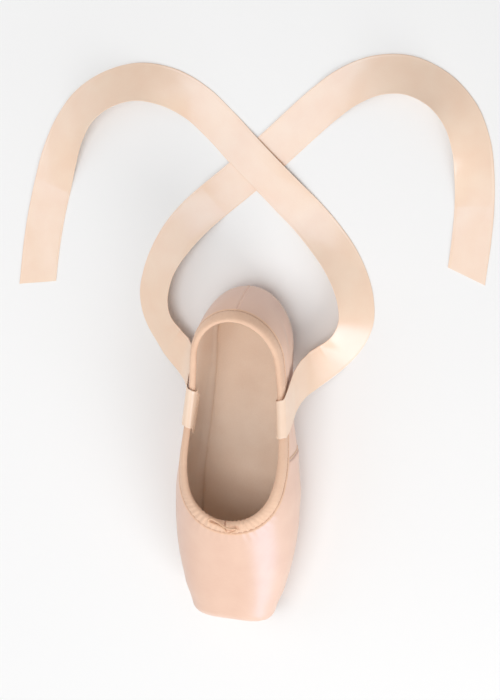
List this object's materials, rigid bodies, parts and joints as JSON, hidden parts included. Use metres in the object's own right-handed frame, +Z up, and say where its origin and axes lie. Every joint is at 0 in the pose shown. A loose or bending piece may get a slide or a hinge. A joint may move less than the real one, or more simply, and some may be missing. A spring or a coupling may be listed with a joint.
{
  "type": "pointe shoe",
  "caption": "Satin pointe shoe with a flat platform, boxed toe, cotton binding, narrow leather sole and two ribbons laid out behind it.",
  "frame": {"origin": "on the floor, under the middle of the shoe's box, ribbons and drawstring left out", "axes": "+X towards the toe, +Y towards the left, +Z up"},
  "size_m": [0.3782, 0.3004, 0.0625],
  "materials": {
    "satin": "glossy satin",
    "binding": "matt cotton",
    "sole_leather": "matt split leather",
    "lining": "matt cotton",
    "string": "matt cotton",
    "ribbon": "glossy satin"
  },
  "bodies": {
    "root": {"upper": "satin", "binding": "binding", "outsole": "sole_leather", "insole": "lining", "drawstring": "string", "ribbon_left": "ribbon", "ribbon_right": "ribbon"}
  },
  "joints": []
}
